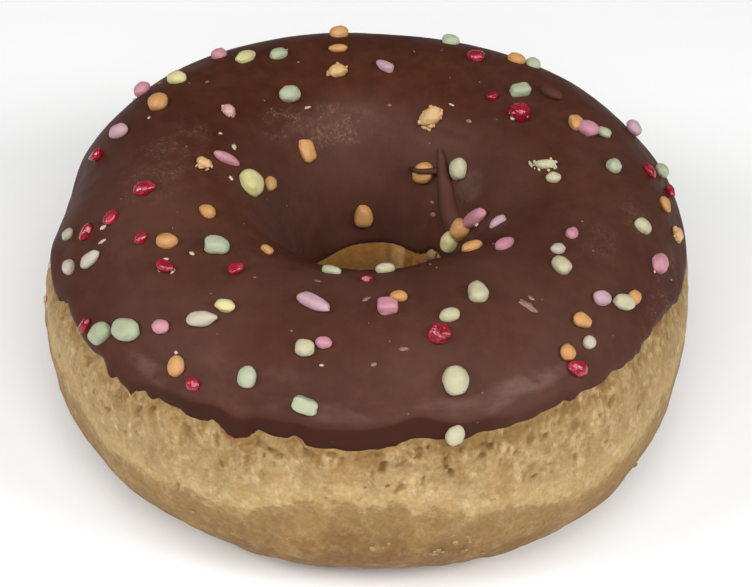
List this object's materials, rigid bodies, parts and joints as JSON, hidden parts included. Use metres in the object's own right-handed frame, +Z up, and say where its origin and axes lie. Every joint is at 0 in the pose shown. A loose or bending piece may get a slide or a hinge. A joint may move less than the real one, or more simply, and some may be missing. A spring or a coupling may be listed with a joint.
{
  "type": "chocolate doughnut",
  "caption": "Ring doughnut of pale crumb with a thick coat of dark chocolate icing on top, scattered with rough pastel and red sugar sprinkles.",
  "frame": {"origin": "centre of the doughnut's foot, on the plane that it rests on", "axes": "+Z up along the axis of the hole, -Y towards the side that the picture shows in front, +X to its right"},
  "size_m": [0.0886, 0.0895, 0.0407],
  "materials": {
    "crumb": "matte porous crumb, browner at the foot",
    "icing": "satin chocolate with sugar sprinkles"
  },
  "bodies": {
    "root": {"dough_ring": "crumb", "chocolate_icing": "icing"}
  },
  "joints": []
}
